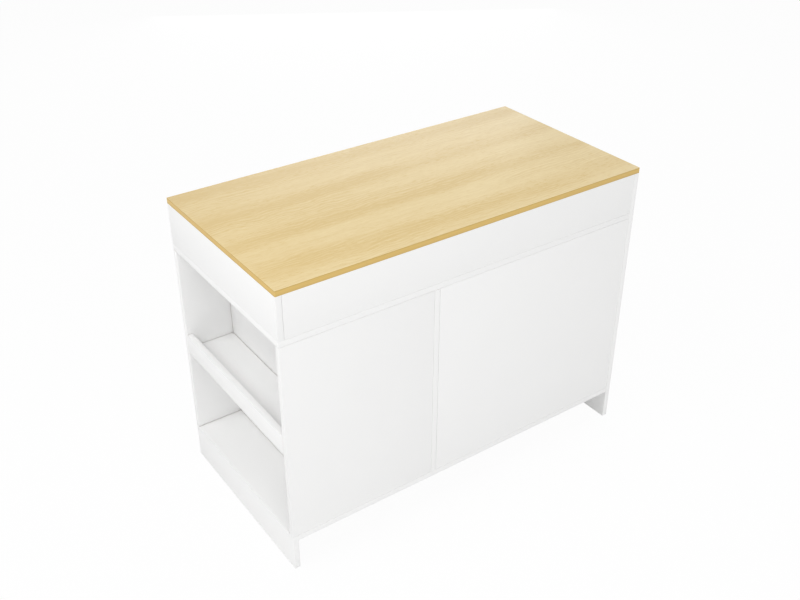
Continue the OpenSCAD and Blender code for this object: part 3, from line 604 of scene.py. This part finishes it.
class ISLAND_OT_stage(bpy.types.Operator):
    """Lay the pale floor and light the unit from all round"""
    bl_idname = "island.stage"
    bl_label = "Stage"

    def execute(self, context):
        view = context.scene.island_view
        context.scene.view_settings.view_transform = "Standard"
        self.floor(context)
        self.surroundings(context, view)
        self.lamps(context)
        return {"FINISHED"}

    @staticmethod
    def floor(context):
        """A flat grid 80 m wide. The camera sees it mostly as an even glow, with a small share of plain
        white paint that keeps the unit's shadow."""
        reach = 40.0
        glow_share = 0.95
        steps = np.linspace(-reach, reach, 5)
        points = np.stack(np.meshgrid(steps, steps, [0.0], indexing="ij"), axis=-1)[:, :, 0]
        floor = bpy.data.objects.new("Floor", grid_mesh("Floor", points[:, ::-1]))
        context.scene.collection.objects.link(floor)
        material, finish = new_material("floor_white")
        x, y, z = finish.axes()
        dust = finish.noise(finish.point(x, y, z), 3.0, 2.0)
        paint = finish.node("ShaderNodeBsdfDiffuse", None,
                            {"Color": finish.blend(dust, (0.89, 0.89, 0.89), (0.91, 0.91, 0.91))})
        glow = finish.node("ShaderNodeEmission")
        mixed = finish.node("ShaderNodeMixShader", None,
                            {0: finish.looked_at() * glow_share, 1: paint, 2: glow})
        finish.node("ShaderNodeOutputMaterial", None, {"Surface": mixed})
        floor.data.materials.append(material)

    @staticmethod
    def surroundings(context, view):
        """White all round: at the ambient strength for the lighting, and at the backdrop's in view."""
        world = bpy.data.worlds.new("Surroundings")
        world.use_nodes = True
        context.scene.world = world
        finish = Finish(world.node_tree)
        white = colour((1, 1, 1))
        lit, shown = (finish.node("ShaderNodeBackground", None, {"Color": white, "Strength": strength})
                      for strength in (view.ambient, view.backdrop))
        mixed = finish.node("ShaderNodeMixShader", None, {0: finish.looked_at(), 1: lit, 2: shown})
        finish.node("ShaderNodeOutputWorld", None, {"Surface": mixed})

    @staticmethod
    def lamps(context):
        """Soft square lamps, three aimed at the unit's middle and one straight down beside its side board,
        each a name, place, aim, power in watts, size and spread."""
        middle = (0.0, 0.0, 0.45)
        for name, place, aim, power, size, spread in (
                ("Key lamp", (1.5, 4.8, 3.6), middle, 106.0, 4.0, math.pi),
                ("End lamp", (2.8, 0.0, 3.1), middle, 42.0, 2.0, math.pi),
                ("Door lamp", (-2.4, -4.0, 1.3), middle, 34.0, 3.0, math.pi),
                ("Top lamp", (-0.8, 0.1, 3.2), (-0.8, 0.1, 0.0), 1.2, 1.6, 1.1)):
            data = bpy.data.lights.new(name, "AREA")
            data.energy = power
            data.size = size
            data.spread = spread
            lamp = bpy.data.objects.new(name, data)
            context.scene.collection.objects.link(lamp)
            lamp.location = place
            east, north, up = np.subtract(aim, place)
            tilt = math.acos(-up / math.hypot(east, north, up))
            lamp.rotation_euler = (tilt, 0.0, math.atan2(-east, north))


class ISLAND_OT_carcass(bpy.types.Operator):
    """Dress the white carcass boards and the loose shelves"""
    bl_idname = "island.carcass"
    bl_label = "Carcass boards"

    def execute(self, context):
        boards = context.scene.island_boards
        white = melamine("white_melamine", boards.white)
        core = chipboard("chipboard_core", boards.core)
        for node, bare_sides in CARCASS.items():
            arris = getattr(boards, ARRISES.get(node, "arris"))
            mesh = joined_copy(node, arris, boards.arris_steps)
            add_piece(mesh, node, "white_board", white, core)
            pick_finish(mesh, self.bare(mesh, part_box(node), bare_sides))
        return {"FINISHED"}

    @staticmethod
    def bare(mesh, box, sides):
        """Which polygons show the board's core: those of the bare sides with the arrises round them, and
        the walls of its bores, whose middles lie off all six sides of the box."""
        skin = 1.0 * MM
        faces_out = 0.3
        middles = np.empty(len(mesh.polygons) * 3)
        mesh.polygons.foreach_get("center", middles)
        near_low, near_high = (np.abs(middles.reshape(-1, 3) - np.array(corner)) < skin for corner in box)
        shown = ~np.any(near_low | near_high, axis=1)
        for way, name in sides.split():
            axis = "XYZ".index(name)
            near, sign = (near_high, 1) if way == "+" else (near_low, -1)
            shown |= near[:, axis] & (directions(mesh)[:, axis] * sign > faces_out)
        return shown


class ISLAND_OT_worktop(bpy.types.Operator):
    """Dress the worktop with oak laminate and its edge band"""
    bl_idname = "island.worktop"
    bl_label = "Worktop"

    def execute(self, context):
        oak = context.scene.island_oak
        low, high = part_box("worktop")
        level = 0.5
        mesh = joined_copy("worktop", oak.arris, context.scene.island_boards.arris_steps)
        add_piece(mesh, "worktop", "oak_board", oak_laminate("oak_laminate", oak),
                  oak_edging("oak_edging", oak.edging, low[2], high[2]))
        edge_band = np.abs(directions(mesh)[:, 2]) <= level
        pick_finish(mesh, edge_band)
        return {"FINISHED"}


class ISLAND_OT_fronts(bpy.types.Operator):
    """Dress the doors and the drawer fronts"""
    bl_idname = "island.fronts"
    bl_label = "Doors and drawer fronts"

    def execute(self, context):
        boards = context.scene.island_boards
        white = melamine("front_melamine", boards.white)
        for side in SIDES:
            for node in (f"{side}_door", f"{side}_drawer_front"):
                mesh = joined_copy(node, boards.front_arris, boards.arris_steps)
                add_piece(mesh, node, "white_board", white)
        return {"FINISHED"}


class ISLAND_OT_drawer_boxes(bpy.types.Operator):
    """Dress the drawers' sides, backs and bottoms"""
    bl_idname = "island.drawer_boxes"
    bl_label = "Drawer boxes"

    def execute(self, context):
        boards = context.scene.island_boards
        foil = melamine("drawer_foil", boards.inner_white, 2.0)
        for side in SIDES:
            for part in ("sides", "back", "bottom"):
                node = f"{side}_drawer_{part}"
                mesh = joined_copy(node, boards.arris, boards.arris_steps)
                add_piece(mesh, node, "drawer_board", foil)
        return {"FINISHED"}


class ISLAND_OT_fittings(bpy.types.Operator):
    """Give the runners, hinges, catches, pins, cams, screws and dowels their metals, plastic and wood"""
    bl_idname = "island.fittings"
    bl_label = "Fittings"

    def execute(self, context):
        rolled = sheet_steel("runner_steel", (0.62, 0.63, 0.65), 0.28, "Y")
        pressed = sheet_steel("hinge_steel", (0.60, 0.61, 0.62), 0.30, "Z")
        cast = cast_zinc("cast_zinc", (0.45, 0.46, 0.48))
        dress_node("cabinet_runners", rolled)
        for side in SIDES:
            dress_node(f"{side}_drawer_runners", rolled)
            dress_node(f"{side}_middle_runners", rolled)
            dress_node(f"{side}_door_hinge_leaves", pressed)
            dress_node(f"{side}_door_strike", pressed)
        for node in ("hinge_frame_leaves", "hinge_pins", "shelf_pins", "cam_bolts"):
            dress_node(node, pressed)
        for node in (*(f"{side}_door_screws" for side in SIDES), "carcass_screws"):
            add_piece(screws_copy(node), node, "steel", pressed)
        for node in (f"{side}_drawer_fixings" for side in SIDES):
            add_piece(screws_copy(node), node, "steel", pressed, cast)
        dress_node("cam_locks", cast)
        dress_node("dowels", turned_beech("turned_beech", (0.66, 0.48, 0.28)))
        dress_node("magnetic_catches", moulded_plastic("moulded_plastic", (0.85, 0.85, 0.84)))
        return {"FINISHED"}


class ISLAND_PT_sidebar(bpy.types.Panel):
    """The unit's pieces and settings"""
    bl_idname = "ISLAND_PT_sidebar"
    bl_label = "Kitchen Island Unit"
    bl_space_type = "VIEW_3D"
    bl_region_type = "UI"
    bl_category = "Island"

    def draw(self, context):
        for group in ("island_boards", "island_oak", "island_view"):
            box = self.layout.box()
            settings = getattr(context.scene, group)
            for key in settings.bl_rna.properties.keys():
                if key not in ("rna_type", "name"):
                    box.prop(settings, key)
        for operator in OPERATORS:
            self.layout.operator(operator.bl_idname)


SETTINGS = {
    "island_boards": IslandBoardSettings,
    "island_oak": IslandOakSettings,
    "island_view": IslandViewSettings,
}
OPERATORS = (
    ISLAND_OT_camera, ISLAND_OT_stage, ISLAND_OT_carcass, ISLAND_OT_worktop, ISLAND_OT_fronts,
    ISLAND_OT_drawer_boxes, ISLAND_OT_fittings,
)


def register():
    for item in (*SETTINGS.values(), *OPERATORS, ISLAND_PT_sidebar):
        bpy.utils.register_class(item)
    for name, group in SETTINGS.items():
        setattr(bpy.types.Scene, name, PointerProperty(type=group))


def unregister():
    for name in SETTINGS:
        delattr(bpy.types.Scene, name)
    for item in (ISLAND_PT_sidebar, *reversed(OPERATORS), *SETTINGS.values()):
        bpy.utils.unregister_class(item)


def main():
    register()
    for operator in OPERATORS:
        group, name = operator.bl_idname.split(".")
        getattr(getattr(bpy.ops, group), name)()


if __name__ == "__main__":
    main()
